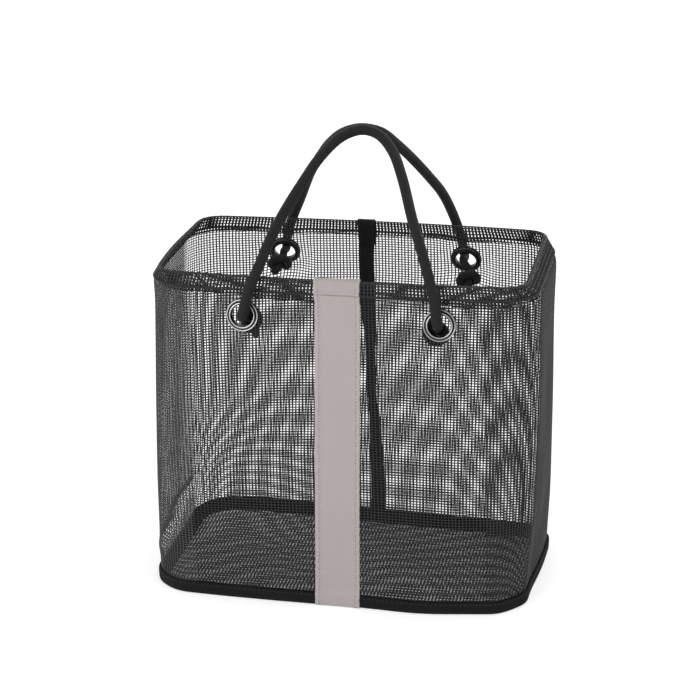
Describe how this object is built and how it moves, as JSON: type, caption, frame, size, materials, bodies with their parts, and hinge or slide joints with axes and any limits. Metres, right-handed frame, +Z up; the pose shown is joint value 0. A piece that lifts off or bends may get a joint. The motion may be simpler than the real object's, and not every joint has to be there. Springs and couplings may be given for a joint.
{
  "type": "mesh toiletry bag",
  "caption": "Open-topped black mesh toiletry tote with a folded rim hem, bound base seam, broad centre strip, metal eyelets and knotted cord handles that swing outwards.",
  "frame": {"origin": "on the surface that the bag stands on, under the middle of the bag", "axes": "+Z up; +Y from the front, which has the broad strip, to the back; +X to the right as seen from the front"},
  "size_m": [0.2708, 0.1748, 0.3259],
  "materials": {
    "mesh": "coated yarn in an open square weave, faintly glossy",
    "tape": "ribbed woven tape, dull",
    "strip": "plain woven canvas with stitched edges, dull",
    "cord": "fine braided round cord, dull",
    "nickel": "dark nickel plate, polished",
    "washer": "black lacquer, satin"
  },
  "bodies": {
    "bag": {"mesh_wall": "mesh", "mesh_floor": "mesh", "rim_hem": "mesh", "base_binding": "tape", "front_strip": "strip", "back_seam_tape": "tape", "front_left_eyelet": "nickel", "front_right_eyelet": "nickel", "back_left_eyelet": "nickel", "back_right_eyelet": "nickel", "front_left_washer": "washer", "front_right_washer": "washer", "back_left_washer": "washer", "back_right_washer": "washer", "front_left_knot": "cord", "front_right_knot": "cord", "back_left_knot": "cord", "back_right_knot": "cord"},
    "front_handle": {"front_handle_cord": "cord"},
    "back_handle": {"back_handle_cord": "cord"}
  },
  "joints": [
    {"name": "front_handle_swing", "type": "hinge", "parent": "bag", "child": "front_handle", "pos_m": [0.003, -0.08356, 0.2094], "axis": [1, 0, 0], "range_deg": [0, 165]},
    {"name": "back_handle_swing", "type": "hinge", "parent": "bag", "child": "back_handle", "pos_m": [-0.001, 0.08356, 0.2094], "axis": [-1, 0, 0], "range_deg": [0, 165]}
  ]
}
